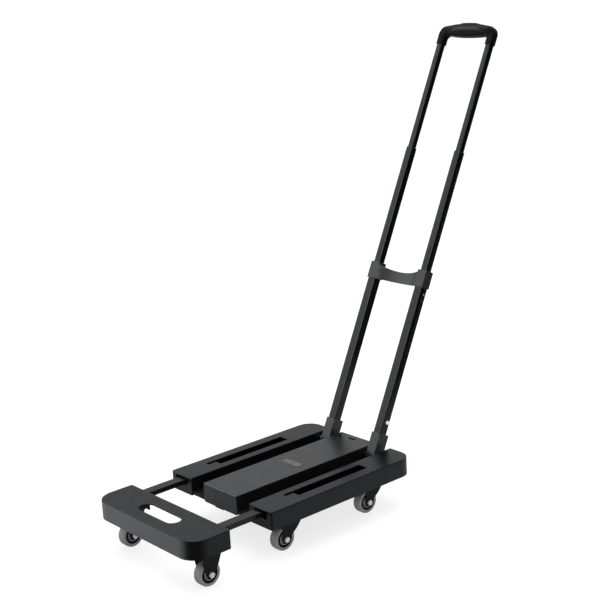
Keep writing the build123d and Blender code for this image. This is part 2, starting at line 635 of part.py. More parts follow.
def build():
    """Every node of the cart, in the drawing frame."""
    nodes = {
        "base_tray": base_tray(),
        "left_wing_shell": wing_shell(-1),
        "right_wing_shell": wing_shell(1),
        "centre_box_cover": centre_box_cover(),
        "nameplate": nameplate(),
        "guide_sleeves": Compound(guide_sleeves()),
        "pivot_shaft": pivot_shaft(),
        "base_caster_plates": Compound(caster_plates(BASE_CASTERS)),
        "base_fasteners": Compound(base_fasteners()),
        "plate_shell": plate_shell(),
        "plate_cover": Compound(plate_covers()),
        "left_extension_tube": extension_tube(-1),
        "right_extension_tube": extension_tube(1),
        "extension_end_stops": Compound(extension_end_stops()),
        "front_caster_plates": Compound(caster_plates(FRONT_CASTERS)),
        "front_fasteners": Compound(front_fasteners()),
    }
    front_shell, rear_shell = grip_shells()
    leaning = {
        "cross_brace": cross_brace(),
        "stop_rivets": Compound(stop_rivets()),
        "mid_foot_plugs": Compound(foot_plugs(18.0, MID_W, MID_FOOT - 7.5, 7.5, 10)),
        "mid_head_caps": Compound(head_caps()),
        "upper_foot_plugs": Compound(foot_plugs(14.8, UPPER_W, UPPER_FOOT - 8.0, 8.0, 10)),
        "grip_front_shell": front_shell,
        "grip_rear_shell": rear_shell,
        "soft_grip": soft_grip(),
        "grip_button": grip_button(),
        "release_link": release_link(),
    }
    for name, side in (("left", -1), ("right", 1)):
        leaning[name + "_socket"] = handle_socket(side)
        leaning[name + "_lower_tube"] = lower_tube(side)
        leaning[name + "_fold_button"] = fold_button(side)
        leaning[name + "_mid_tube"] = square_tube(side, MID_W, MID_R, (MID_FOOT, STEP_S - 2), True)
        leaning[name + "_upper_tube"] = square_tube(side, UPPER_W, UPPER_R, (UPPER_FOOT, GRIP_S + 17), False)
    nodes.update({name: LEANING * shape for name, shape in leaning.items()})
    for name, (x, y, trail, half) in CASTERS.items():
        nodes[name + "_fork"] = caster_fork(x, y, trail, half)
        nodes[name + "_axle"] = caster_axle(x, y)
        nodes[name + "_hub"] = caster_hub(x, y)
        nodes[name + "_tyre"] = caster_tyre(x, y)
    return nodes


def centre_y(nodes):
    """Middle of the whole cart along Y, in the drawing frame."""
    boxes = [shape.bounding_box() for shape in nodes.values()]
    return (min(b.min.Y for b in boxes) + max(b.max.Y for b in boxes)) / 2


NODES = build()
ORIGIN_Y = centre_y(NODES)
os.makedirs("parts", exist_ok=True)
for node, shape in NODES.items():
    export_step(Pos(0, -ORIGIN_Y, 0) * shape, f"parts/{node}.step")
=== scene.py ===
import json
import math

import bmesh
import bpy
from mathutils import Matrix, Vector


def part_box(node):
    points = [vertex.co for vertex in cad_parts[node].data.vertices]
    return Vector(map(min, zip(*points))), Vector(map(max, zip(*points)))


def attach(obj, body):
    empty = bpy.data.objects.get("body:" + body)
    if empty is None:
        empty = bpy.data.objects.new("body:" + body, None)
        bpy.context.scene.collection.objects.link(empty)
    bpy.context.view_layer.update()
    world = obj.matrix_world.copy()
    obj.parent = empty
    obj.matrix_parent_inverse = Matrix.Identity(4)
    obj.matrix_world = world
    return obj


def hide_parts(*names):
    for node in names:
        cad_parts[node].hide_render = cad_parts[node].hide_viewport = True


# Looks for the folding luggage cart: studio, camera, finishes, and the pieces whose form is finer
# than their CAD solids. Metres throughout, in the row frame.

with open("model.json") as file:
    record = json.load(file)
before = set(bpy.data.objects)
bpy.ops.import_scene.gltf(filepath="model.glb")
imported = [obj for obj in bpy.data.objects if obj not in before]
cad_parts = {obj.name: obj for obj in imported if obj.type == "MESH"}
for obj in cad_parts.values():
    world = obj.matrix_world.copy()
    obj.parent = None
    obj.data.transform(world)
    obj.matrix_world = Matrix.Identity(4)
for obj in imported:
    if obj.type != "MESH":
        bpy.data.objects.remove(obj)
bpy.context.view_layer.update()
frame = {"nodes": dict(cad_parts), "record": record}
NODES = frame["nodes"]
SLOT_OF = {part["node"]: part["material_slot"] for part in frame["record"]["subparts"]}
WHEELS = [f"{row}_{side}" for row in ("front", "middle", "rear") for side in ("left", "right")]


# ---------------------------------------------------------------- finishes
class Graph:
    """A material's node tree, with short calls to add and join nodes."""

    def __init__(self, name):
        self.material = bpy.data.materials.new(name)
        self.material.use_nodes = True
        self.nodes = self.material.node_tree.nodes
        self.links = self.material.node_tree.links
        self.shader = self.nodes["Principled BSDF"]
        self.place = self.nodes.new("ShaderNodeTexCoord").outputs["Object"]

    def node(self, kind, inputs=None, **settings):
        """Adds a node; each input is a value or another node's socket."""
        made = self.nodes.new(kind)
        for key, value in settings.items():
            setattr(made, key, value)
        for key, value in (inputs or {}).items():
            if isinstance(value, bpy.types.NodeSocket):
                self.links.new(value, made.inputs[key])
            else:
                made.inputs[key].default_value = value
        return made

    def noise(self, scale, detail=2.0, rough=0.5, stretch=None):
        """Noise over the piece's own coordinates, which may be stretched first."""
        place = self.place
        if stretch:
            place = self.node("ShaderNodeMapping", {"Vector": place, "Scale": stretch}).outputs[0]
        inputs = {"Vector": place, "Scale": scale, "Detail": detail, "Roughness": rough}
        return self.node("ShaderNodeTexNoise", inputs).outputs[0]

    def span(self, value, low, high, start, end, smooth=False):
        """Maps a value between start and end to one between low and high."""
        made = self.node("ShaderNodeMapRange", {"Value": value, "From Min": start, "From Max": end,
                                                "To Min": low, "To Max": high})
        made.interpolation_type = "SMOOTHSTEP" if smooth else "LINEAR"
        return made.outputs[0]

    def math(self, operation, a, b, clamp=False):
        """One step of arithmetic on two values."""
        made = self.node("ShaderNodeMath", {0: a, 1: b}, operation=operation, use_clamp=clamp)
        return made.outputs[0]

    def mix(self, factor, a, b):
        """Colour a where the factor is 0, colour b where it is 1."""
        made = self.node("ShaderNodeMix", data_type="RGBA")
        for socket, value in (("Factor_Float", factor), ("A_Color", a), ("B_Color", b)):
            target = next(s for s in made.inputs if s.identifier == socket)
            if isinstance(value, bpy.types.NodeSocket):
                self.links.new(value, target)
            else:
                target.default_value = value
        return next(s for s in made.outputs if s.identifier == "Result_Color")

    def bump(self, height, distance, strength, normal):
        """Tilts a normal by the slope of a height."""
        inputs = {"Height": height, "Distance": distance, "Strength": strength, "Normal": normal}
        return self.node("ShaderNodeBump", inputs).outputs[0]

    def set(self, **values):
        """Sets the shader's inputs by name, with an underscore for each space."""
        for key, value in values.items():
            socket = self.shader.inputs[key.replace("_", " ")]
            if isinstance(value, bpy.types.NodeSocket):
                self.links.new(value, socket)
            else:
                socket.default_value = value
        return self.material


BLUE_TRACE = 0.0004


def grey(value, warm=0.0):
    """A neutral colour, or a reddish one where warm is above zero."""
    return (value * (1 + warm), value, value * (1 - warm) + BLUE_TRACE, 1)


def edge_mask(graph, radius, noise_scale=180.0):
    """A normal that rounds the edges off, and a mask: 0 on flats, up to 1 on edges whose colour is
    lightened, as rubbed wear and on some finishes as a painted highlight.
    """
    soft = graph.node("ShaderNodeBevel", {"Radius": radius}, samples=4).outputs[0]
    flat = graph.node("ShaderNodeNewGeometry").outputs["Normal"]
    turned = graph.node("ShaderNodeVectorMath", {0: soft, 1: flat}, operation="DOT_PRODUCT")
    corner = graph.span(turned.outputs["Value"], 1.0, 0.0, 0.80, 0.995)
    patchy = graph.span(graph.noise(noise_scale, 3.0, 0.6), 0.25, 1.0, 0.35, 0.6)
    return soft, graph.math("MULTIPLY", corner, patchy, clamp=True)


def moulded(name, base, rough, grain=0.000012, grain_scale=1500.0, edge=0.0006, wear_and_painted_highlight=1.9,
            warm=0.0, spec=0.5):
    """Moulded plastic or powder coat: spark-eroded grain, faint mottling, and lighter edges that are
    rubbed wear and, where the gain is high, a painted highlight line.
    """
    graph = Graph(name)
    soft, lightened_edges = edge_mask(graph, edge)
    mottle = graph.noise(38.0, 4.0, 0.6)
    streak = graph.noise(9.0, 3.0, 0.55, stretch=(1.0, 0.35, 1.0))
    patches = graph.span(mottle, 0.0, 1.0, 0.3, 0.7)
    mottled = graph.mix(patches, grey(base * 0.86, warm), grey(base * 1.14, warm))
    streaks = graph.span(streak, 0.0, 0.35, 0.45, 0.75)
    streaked = graph.mix(streaks, mottled, grey(base * 1.35, warm))
    # Edge colour raised by the gain: rubbed wear at low gains, a painted highlight line along the edges
    # at high ones.
    colour = graph.mix(lightened_edges, streaked, grey(base * wear_and_painted_highlight, warm))
    fine = graph.noise(grain_scale, 3.0, 0.7)
    broad_gloss = graph.span(mottle, rough - 0.05, rough + 0.05, 0.3, 0.7)
    roughness = graph.math("ADD", broad_gloss, graph.span(fine, -0.03, 0.03, 0.3, 0.7))
    fine_height = graph.math("MULTIPLY", fine, 0.8)
    height = graph.math("ADD", fine_height, graph.math("MULTIPLY", graph.noise(240.0), 1.5))
    graph.set(Base_Color=colour, Roughness=roughness, Specular_IOR_Level=spec,
              Normal=graph.bump(height, grain, 0.9, soft))
    return graph.material


METAL_EDGE, METAL_NOISE, SCRATCH_HEIGHT = 0.0003, 320.0, 0.00001


def metal(name, base, rough, metallic=1.0):
    """Bare or plated metal: fine scratches, faint smudges, brighter edges."""
    graph = Graph(name)
    soft, lightened_edges = edge_mask(graph, METAL_EDGE, METAL_NOISE)
    scratches = graph.noise(900.0, 4.0, 0.6)
    smudge = graph.noise(60.0, 3.0, 0.6)
    patches = graph.span(smudge, 0.0, 1.0, 0.3, 0.7)
    smudged = graph.mix(patches, grey(base * 0.9), grey(min(1.0, base * 1.08)))
    colour = graph.mix(lightened_edges, smudged, grey(min(1.0, base * 1.3)))
    broad_gloss = graph.span(smudge, rough - 0.04, rough + 0.06, 0.3, 0.7)
    roughness = graph.math("ADD", broad_gloss, graph.span(scratches, -0.05, 0.05, 0.3, 0.7))
    graph.set(Base_Color=colour, Roughness=roughness, Metallic=metallic,
              Normal=graph.bump(scratches, SCRATCH_HEIGHT, 0.8, soft))
    return graph.material


FINE_GRAIN = 0.000008     # height of the grain on parts smoother than the deck

# The high edge gains of the deck plastic (9) and the box cover (24), and to a lesser degree the sockets
# (4), paint bright highlight lines along the edges; gains near 1 or 2 stand for rubbed wear.
PLASTICS = {
    "deck_plastic": dict(base=0.0026, rough=0.33, edge=0.0006, wear_and_painted_highlight=9.0, spec=0.41),
    "box_cover": dict(base=0.0040, rough=0.35, grain=0.000005, edge=0.0008, wear_and_painted_highlight=24.0, spec=1.0),
    "tray_plastic": dict(base=0.002, rough=0.50, spec=0.25),
    "bush_plastic": dict(base=0.006, rough=0.50),
    "socket_plastic": dict(base=0.013, rough=0.32, edge=0.0007, wear_and_painted_highlight=4.0, spec=0.60),
    "grip_plastic": dict(base=0.003, rough=0.30, grain=FINE_GRAIN, edge=0.0005, spec=0.06),
    "soft_grip_rubber": dict(base=0.004, rough=0.20, grain=FINE_GRAIN, grain_scale=2200.0, spec=0.07),
    "hub_plastic": dict(base=0.004, rough=0.42, edge=0.0003),
    "caster_tyre": dict(base=0.165, rough=0.42, grain=FINE_GRAIN, edge=0.0006, wear_and_painted_highlight=1.2),
    "nameplate_film": dict(base=0.010, rough=0.30, grain=FINE_GRAIN),
    "label_red": dict(base=0.060, rough=0.40, grain=FINE_GRAIN, warm=0.75),
    "label_pale": dict(base=0.13, rough=0.40, grain=FINE_GRAIN),
}
COATED_STEELS = {
    "caster_steel": dict(base=0.0045, rough=0.34, grain=FINE_GRAIN, edge=0.0004, spec=0.2),
    "extension_steel": dict(base=0.0025, rough=0.24, grain=FINE_GRAIN, edge=0.0005, spec=0.4),
    "handle_tube": dict(base=0.0020, rough=0.20, grain=0.000006, grain_scale=2600.0, edge=0.0004,
                        spec=0.40),
}
BARE_METALS = {
    "release_alloy": dict(base=0.55, rough=0.35),
    "plated_steel": dict(base=0.6, rough=0.30, metallic=0.7),
    "bright_button": dict(base=0.86, rough=0.30, metallic=0.15),
    "axle_chrome": dict(base=0.8, rough=0.20, metallic=0.55),
}

FINISH = {name: moulded(name, **look) for name, look in (PLASTICS | COATED_STEELS).items()}
FINISH |= {name: metal(name, **look) for name, look in BARE_METALS.items()}
for name, node in NODES.items():
    node.data.materials.clear()
    node.data.materials.append(FINISH["box_cover" if name == "centre_box_cover" else SLOT_OF[name]])


# ---------------------------------------------------------------- mesh helpers
def piece(name, verts, faces, body, finishes, standing_for=(), groups=None, sharp=38.0):
    """A mesh piece in the row frame that rides on a body; edges sharper than the angle stay crisp."""
    mesh = bpy.data.meshes.new(name)
    mesh.from_pydata([tuple(v) for v in verts], [], faces)
    for finish in finishes:
        mesh.materials.append(finish)
    if groups:
        mesh.polygons.foreach_set("material_index", groups)
    form = bmesh.new()
    form.from_mesh(mesh)
    bmesh.ops.recalc_face_normals(form, faces=form.faces)
    for face in form.faces:
        face.smooth = True
    for edge in form.edges:
        edge.smooth = len(edge.link_faces) == 2 and edge.calc_face_angle() < math.radians(sharp)
    form.to_mesh(mesh)
    form.free()
    o = bpy.data.objects.new(name, mesh)
    bpy.context.scene.collection.objects.link(o)
    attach(o, body)
    if standing_for:
        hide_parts(*standing_for)
    return o


TURN_STEPS = 96


def lathe(profile, centre):
    """Turns a closed profile of (radius, along X) round an X axis; gives the points and the faces."""
    verts, faces, count = [], [], len(profile)
    for i in range(TURN_STEPS):
        a = 2 * math.pi * i / TURN_STEPS
        verts += [Vector((x, r * math.cos(a), r * math.sin(a))) + centre for r, x in profile]
    for i in range(TURN_STEPS):
        j = (i + 1) % TURN_STEPS
        for k in range(count):
            m = (k + 1) % count
            faces.append((i * count + k, i * count + m, j * count + m, j * count + k))
    return verts, faces


def arc(centre, radius, start, end, steps):
    """Points of an arc in (radius, along X), angles in degrees from the radial direction."""
    angles = [math.radians(start + (end - start) * i / steps) for i in range(steps + 1)]
    return [(centre[0] + radius * math.cos(t), centre[1] + radius * math.sin(t)) for t in angles]


# ---------------------------------------------------------------- wheels
TYRE_OUT, TYRE_IN, TYRE_HALF, BORE = 0.025, 0.0180, 0.0098, 0.0031
TYRE_SHOULDER, SHOULDER_DOWN = 0.0030, 0.0032
CORE_FINISHES = ("hub_plastic", "caster_tyre", "plated_steel")
PLASTIC, RUBBER, STEEL = range(3)         # places in CORE_FINISHES


def tyre_profile():
    """Crowned tread with a fine parting line, round shoulders, and a dished side wall."""
    middle = (TYRE_OUT - SHOULDER_DOWN, TYRE_HALF - TYRE_SHOULDER)
    shoulder = arc(middle, TYRE_SHOULDER, 90, 8, 8)
    seat = [(TYRE_IN, TYRE_HALF - 0.0030), (TYRE_IN, TYRE_HALF - 0.0008)]
    wall = [(TYRE_IN + 0.0007, TYRE_HALF - 0.0002), (TYRE_IN + 0.0016, TYRE_HALF - 0.0004),
            (TYRE_IN + 0.0030, TYRE_HALF - 0.0001)]
    tread = [(TYRE_OUT - 0.00004, 0.0035), (TYRE_OUT, 0.0012)]
    parting = [(TYRE_OUT, 0.00022), (TYRE_OUT - 0.00016, 0.0)]
    right = seat + wall + shoulder + tread + parting
    return right + [(r, -x) for r, x in reversed(right[:-1])]


def hub_profile():
    """One side of the wheel's core, from the tyre's seat in to the bore: radius, place, finish."""
    half = TYRE_HALF
    return [
        (TYRE_IN + 0.0001, half - 0.0012, PLASTIC),      # rim
        (TYRE_IN - 0.0006, half - 0.0006, PLASTIC),
        (TYRE_IN - 0.0013, half - 0.0009, PLASTIC),
        (0.0160, half - 0.0046, PLASTIC),                # dish
        (0.0137, half - 0.0050, PLASTIC),
        (0.0129, half - 0.0010, PLASTIC),
        (0.0125, half - 0.0005, RUBBER),                 # pale ring
        (0.0112, half - 0.0005, RUBBER),
        (0.0108, half - 0.0010, RUBBER),
        (0.0105, half - 0.0030, PLASTIC),
        (0.0091, half - 0.0031, PLASTIC),
        (0.0089, half - 0.0022, STEEL),                  # bearing
        (0.0080, half - 0.0020, STEEL),
        (0.0078, half - 0.0027, STEEL),
        (0.0058, half - 0.0027, PLASTIC),
        (0.0056, half - 0.0006, STEEL),                  # spacer on the axle
        (0.0050, half + 0.0006, STEEL),
        (BORE, half + 0.0006, STEEL),
    ]


def wheel(name):
    """The tyre and the core of one wheel, on the body that spins."""
    body = name + "_wheel"
    low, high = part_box(name + "_tyre")
    centre = (low + high) / 2
    verts, faces = lathe(tyre_profile(), centre)
    piece(name + "_tread", verts, faces, body, [FINISH["caster_tyre"]], [name + "_tyre"])
    side = hub_profile()
    ring = [(r, x) for r, x, _ in side] + [(r, -x) for r, x, _ in reversed(side)]
    steps = [kind for _, _, kind in side[1:]]
    kinds = steps + [STEEL] + steps[::-1] + [PLASTIC]     # the bore and the tyre's seat join the sides
    verts, faces = lathe(ring, centre)
    piece(name + "_core", verts, faces, body, [FINISH[kind] for kind in CORE_FINISHES],
          [name + "_hub"], kinds * TURN_STEPS)


for name in WHEELS:
    wheel(name)


# ---------------------------------------------------------------- grip
PIVOT = sum(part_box("pivot_shaft"), Vector()) / 2
LEAN = math.radians(25.65)
LEG_X, LEG_OUT, LEG_IN = 0.0709, 0.0804, 0.0614
GRIP_FOOT, GRIP_UNDER, GRIP_CROWN = 0.9202, 0.9412, 0.9680
SHOULDER_R, ARMPIT_R = 0.0200, 0.0085
LEG_DEPTH, BAR_DEPTH = 0.0090, 0.0120     # half depths, across the handle's plane
LEG_BOXY, BAR_BOXY = 5.0, 3.3             # powers of the superellipse: 2 is round, more is squarer
LEG_RISE_OUT, LEG_RISE_IN = 0.0218, 0.0125
CROWN_DROP, CROWN_REACH = 0.0060, 0.0604
OUTER_BEND, INNER_BEND = 88, 90            # degrees
LEG_STEPS, BEND_STEPS, BAR_STEPS, RING_STEPS, BLOCK_STEPS = 12, 16, 24, 44, 40
LEG_HOLE, LEG_HOLE_DEEP, LEG_HOLE_BOXY = 0.0074, 0.0165, 7.0
KEY_HALF, KEY_DEEP, KEY_PROUD, KEY_DOME = (0.0260, 0.0065), 0.0180, 0.0016, 0.0006
KEY_BEVEL = ((0.0012, 0.0), (0.0005, 0.0003), (0.0001, 0.0009), (0.0, 0.0016))   # down, inwards
DOME_SHARES = (0.7, 0.4, 0.15)
POCKET_HALF, POCKET_DEEP = (0.0264, 0.0069), 0.0225
PAST_CROWN, PAST_FOOT = 0.004, 0.002      # how far a cutter runs past the surface
SLEEVE_HALF = 0.0520
SLEEVE_SKIN, SLEEVE_BELLY, SLEEVE_SUNK, SIDES_SUNK = 0.0009, 0.0030, 0.0010, 0.0012
SLEEVE_ENDS, SLEEVE_RIMS = 7, 8           # powers: a higher one keeps full thickness nearer the edge
WRAP_LEAST, WRAP_MORE = 20, 76            # degrees to either side: at the ends, and added amidships


def leaning(x, n, s):
    """A point of the handle: across, towards the rear, and along it from the pivot."""
    return Vector((x, PIVOT.y + s * math.sin(LEAN) + n * math.cos(LEAN),
                   PIVOT.z + s * math.cos(LEAN) - n * math.sin(LEAN)))


def crown(x):
    """Height of the grip's top along the handle: it falls off towards the shoulders."""
    return GRIP_CROWN - CROWN_DROP * (x / CROWN_REACH) ** 2


def squircle(angle, power):
    """Cosine and sine of a superellipse."""
    c, s = math.cos(angle), math.sin(angle)
    return math.copysign(abs(c) ** (2 / power), c), math.copysign(abs(s) ** (2 / power), s)


def bow_stations():
    """The bow's right half: outer and inner point in (x, s), half depth, and how boxy it is there."""
    out = []
    for i in range(LEG_STEPS + 1):
        t = i / LEG_STEPS
        outer, inner = (LEG_OUT, GRIP_FOOT + t * LEG_RISE_OUT), (LEG_IN, GRIP_FOOT + t * LEG_RISE_IN)
        out.append((outer, inner, LEG_DEPTH, LEG_BOXY))
    top = crown(LEG_OUT - SHOULDER_R)
    for i in range(1, BEND_STEPS + 1):
        t = i / BEND_STEPS
        a, b = math.radians(OUTER_BEND * t), math.radians(INNER_BEND * t)
        outer = (LEG_OUT - SHOULDER_R * (1 - math.cos(a)), top - SHOULDER_R * (1 - math.sin(a)))
        inner = (LEG_IN - ARMPIT_R * (1 - math.cos(b)), GRIP_UNDER - ARMPIT_R * (1 - math.sin(b)))
        ease = t * t * (3 - 2 * t)
        depth = LEG_DEPTH + (BAR_DEPTH - LEG_DEPTH) * ease
        out.append((outer, inner, depth, LEG_BOXY + (BAR_BOXY - LEG_BOXY) * ease))
    start = out[-1]
    for i in range(1, BAR_STEPS + 1):
        t = i / BAR_STEPS
        x_out, x_in = start[0][0] * (1 - t), start[1][0] * (1 - t)
        out.append(((x_out, crown(x_out)), (x_in, GRIP_UNDER), BAR_DEPTH, BAR_BOXY))
    return out


def ring_of(outer, inner, depth, power):
    """A closed superellipse between an outer and an inner point, in (x, n, s)."""
    cx, cs = (outer[0] + inner[0]) / 2, (outer[1] + inner[1]) / 2
    dx, ds = (outer[0] - inner[0]) / 2, (outer[1] - inner[1]) / 2
    points = []
    for i in range(RING_STEPS):
        u, v = squircle(2 * math.pi * i / RING_STEPS, power)
        points.append((cx + dx * u, depth * v, cs + ds * u))
    return points


def loft(rings):
    """Joins rings of equally many points into a closed skin with flat ends."""
    steps, faces = len(rings[0]), []
    verts = [p for ring in rings for p in ring]
    for i in range(len(rings) - 1):
        for k in range(steps):
            m = (k + 1) % steps
            faces.append((i * steps + k, i * steps + m, (i + 1) * steps + m, (i + 1) * steps + k))
    faces += [tuple(range(steps)), tuple(range(len(verts) - steps, len(verts)))]
    return verts, faces


def carve(o, cutters):
    """Cuts closed blocks out of a piece and keeps the result as its own mesh."""
    made = []
    for verts, faces in cutters:
        mesh = bpy.data.meshes.new("cutter")
        mesh.from_pydata([tuple(leaning(*v)) for v in verts], [], faces)
        form = bmesh.new()
        form.from_mesh(mesh)
        bmesh.ops.recalc_face_normals(form, faces=form.faces)
        form.to_mesh(mesh)
        form.free()
        cutter = bpy.data.objects.new("cutter", mesh)
        bpy.context.scene.collection.objects.link(cutter)
        made.append(cutter)
        cut = o.modifiers.new("cut", "BOOLEAN")
        cut.operation, cut.solver, cut.object = "DIFFERENCE", "EXACT", cutter
    bpy.context.view_layer.update()
    shaped = bpy.data.meshes.new_from_object(o.evaluated_get(bpy.context.evaluated_depsgraph_get()))
    o.modifiers.clear()
    o.data = shaped
    for cutter in made:
        bpy.data.objects.remove(cutter)


def rounded_block(half_x, half_n, s_low, s_high, x=0.0, power=6.0, dome=0.0):
    """An upright block with rounded corners in (x, n); with a dome, its top follows the grip's crown."""
    levels = [(s_low, 0.0), (s_high, 0.0)]
    if dome:
        levels = [(s_low, 0.0)] + [(s_high - down, inset) for down, inset in KEY_BEVEL]
    rings = []
    for s, inset in levels:
        ring = []
        for i in range(BLOCK_STEPS):
            u, v = squircle(2 * math.pi * i / BLOCK_STEPS, power)
            u, v = u * (half_x - inset), v * (half_n - inset)
            drop = (GRIP_CROWN - crown(u)) if dome and s > s_low else 0.0
            ring.append((x + u, v, s - drop))
        rings.append(ring)
    if dome:
        rim = rings[-1]
        for share in DOME_SHARES:
            narrowing = 0.3 + 0.7 * share if share < 0.5 else 0.65 + 0.35 * share
            ring = []
            for rim_x, rim_n, _ in rim:
                u = rim_x * narrowing
                rise = dome * (1 - share * share)
                ring.append((u, rim_n * share, s_high - (GRIP_CROWN - crown(u)) + rise))
            rings.append(ring)
    return loft(rings)


def grip():
    """The bow with its pocket and leg holes, the release key in the pocket, and the sleeve."""
    half = bow_stations()
    left = []
    for outer, inner, depth, power in reversed(half[:-1]):
        left.append(((-outer[0], outer[1]), (-inner[0], inner[1]), depth, power))
    rings = [ring_of(*station) for station in half + left]
    verts, faces = loft(rings)
    shell = piece("grip_bow", [leaning(*v) for v in verts], faces, "handle_upper",
                  [FINISH["grip_plastic"]], ["grip_front_shell", "grip_rear_shell"], sharp=50)
    cutters = [rounded_block(*POCKET_HALF, GRIP_CROWN - POCKET_DEEP, GRIP_CROWN + PAST_CROWN)]
    bottom, top = GRIP_FOOT - PAST_FOOT, GRIP_FOOT + LEG_HOLE_DEEP
    for x in (-LEG_X, LEG_X):
        cutters.append(rounded_block(LEG_HOLE, LEG_HOLE, bottom, top, x, LEG_HOLE_BOXY))
    carve(shell, cutters)
    verts, faces = rounded_block(*KEY_HALF, GRIP_CROWN - KEY_DEEP, GRIP_CROWN + KEY_PROUD, dome=KEY_DOME)
    piece("grip_key", [leaning(*v) for v in verts], faces, "grip_release",
          [FINISH["grip_plastic"]], ["grip_button"], sharp=50)
    sleeve()


def sleeve():
    """Soft rubber round the lower half of the bow, thickest at its belly, thin at its rim."""
    across, around = 64, 40
    outer, inner = [], []
    for i in range(across + 1):
        t = 2 * i / across - 1
        x = SLEEVE_HALF * t
        end = max(0.0, 1 - abs(t) ** SLEEVE_ENDS)
        top = crown(x)
        half, middle = (top - GRIP_UNDER) / 2, (top + GRIP_UNDER) / 2
        reach = math.radians(WRAP_LEAST + WRAP_MORE * end ** 0.5)
        for k in range(around + 1):
            w = 2 * k / around - 1
            a = reach * w
            rim = max(0.0, 1 - abs(w) ** SLEEVE_RIMS) * end ** 0.4
            u, v = squircle(a, BAR_BOXY)
            below = max(0.0, math.cos(a)) ** 2 * (1 - t * t)
            swell = (SLEEVE_SKIN + SLEEVE_BELLY * below) * rim
            outer.append((x, (BAR_DEPTH + min(swell, SLEEVE_SKIN)) * v, middle - (half + swell) * u))
            inner.append((x, (BAR_DEPTH - SIDES_SUNK) * v, middle - (half - SLEEVE_SUNK) * u))
    verts = outer + inner
    row, base = around + 1, len(outer)
    faces = []
    for i in range(across):
        for k in range(around):
            a, b, c, d = i * row + k, i * row + k + 1, (i + 1) * row + k + 1, (i + 1) * row + k
            faces += [(a, b, c, d), (base + d, base + c, base + b, base + a)]
    rim_loop = list(range(row))
    rim_loop += [i * row + around for i in range(1, across + 1)]
    rim_loop += [across * row + k for k in range(around - 1, -1, -1)]
    rim_loop += [i * row for i in range(across - 1, 0, -1)]
    for p, q in zip(rim_loop, rim_loop[1:] + rim_loop[:1]):
        faces.append((p, q, base + q, base + p))
    piece("grip_sleeve", [leaning(*v) for v in verts], faces, "handle_upper",
          [FINISH["soft_grip_rubber"]], ["soft_grip"], sharp=60)


grip()


# ---------------------------------------------------------------- the plate's grip pattern
KNURL_PITCH, KNURL_HIGH, KNURL_SUNK = 0.0036, 0.00055, 0.0003
KNURL_FOOT, KNURL_TIP = 0.43, 0.20        # half widths, as shares of the pitch
CORNERS = ((-1, -1), (1, -1), (1, 1), (-1, 1))
FOUR_SIDES = [(n, (n + 1) % 4, (n + 1) % 4 + 4, n + 4) for n in range(4)]


def knurl(name, body, top, inside, low, high):
    """Rows of small blunt pyramids, each a closed solid, on a flat top wherever inside(x, y) holds."""
    verts, faces = [], []
    wide, blunt = KNURL_PITCH * KNURL_FOOT, KNURL_PITCH * KNURL_TIP
    columns = int((high[0] - low[0]) / KNURL_PITCH)
    rows = int((high[1] - low[1]) / KNURL_PITCH)
    for i in range(columns):
        for j in range(rows):
            x, y = low[0] + (i + 0.5) * KNURL_PITCH, low[1] + (j + 0.5) * KNURL_PITCH
            if not inside(x, y):
                continue
            base = len(verts)
            for half, z in ((wide, top - KNURL_SUNK), (wide, top), (blunt, top + KNURL_HIGH)):
                verts += [(x + a * half, y + b * half, z) for a, b in CORNERS]
            for ring in (base, base + 4):
                faces += [tuple(ring + k for k in side) for side in FOUR_SIDES]
            faces += [(base, base + 3, base + 2, base + 1), (base + 8, base + 9, base + 10, base + 11)]
    piece(name, verts, faces, body, [FINISH["deck_plastic"]], sharp=20)


def on_plate(low, high):
    """The plate's top within its border, clear of the hand hole."""
    border, corner, hole_half, hole_r = 0.0045, 0.039, 0.043, 0.016
    middle = (low.y + high.y) / 2

    def inside(x, y):
        past = max(abs(x) - (high.x - corner), 0.0), max((low.y + corner) - y, 0.0)
        edge = corner - math.hypot(*past) if all(past) else min(high.x - abs(x), y - low.y, high.y - y)
        away = math.hypot(max(abs(x) - hole_half, 0.0), y - middle) - hole_r
        return edge > border and away > border
    return inside


def plate_texture():
    """The pattern on the front plate's top, clear of its border and of the hand hole."""
    low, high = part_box("plate_shell")
    knurl("plate_knurl", "front_extension", high.z, on_plate(low, high), low, high)


plate_texture()


# ---------------------------------------------------------------- label
LABEL_BANDS = (      # where up the nameplate, height, finish
    (0.80, 0.0030, "label_red"),
    (0.50, 0.0050, "label_pale"),
    (0.22, 0.0035, "label_pale"),
)
BAND_MARGIN, BAND_SUNK, BAND_PROUD = 0.006, 0.0001, 0.00012


def label():
    """Three thin blank bands on the nameplate, the upper one reddish."""
    low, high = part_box("nameplate")
    x0, x1 = low.x + BAND_MARGIN, high.x - BAND_MARGIN
    for number, (share, height, finish) in enumerate(LABEL_BANDS, 1):
        y0 = low.y + (high.y - low.y) * share - height / 2
        ring = [(x0, y0), (x1, y0), (x1, y0 + height), (x0, y0 + height)]
        verts = [(*corner, high.z - BAND_SUNK) for corner in ring]
        verts += [(*corner, high.z + BAND_PROUD) for corner in ring]
        faces = [(0, 3, 2, 1), (4, 5, 6, 7)] + FOUR_SIDES
        piece(f"label_band_{number}", verts, faces, "base", [FINISH[finish]])


label()


# ---------------------------------------------------------------- studio
FLOOR_HALF = 30.0
SKY_STRENGTH, FLOOR_GLOW = 1.05, 0.76
CARD_COLOUR, FLOOR_CARD_COLOUR = (0.92, 0.97, 1.0, 1), (0.91, 0.95, 1.0, 1)
PAPER, PAPER_PATCH = (0.27, 0.27, 0.27, 1), (0.29, 0.29, 0.29, 1)
NEAR_FADE, LEFT_FADE, BESIDE_FADE = (-0.56, -0.46), (0.02, 0.18), (-0.55, -0.30)   # from, to


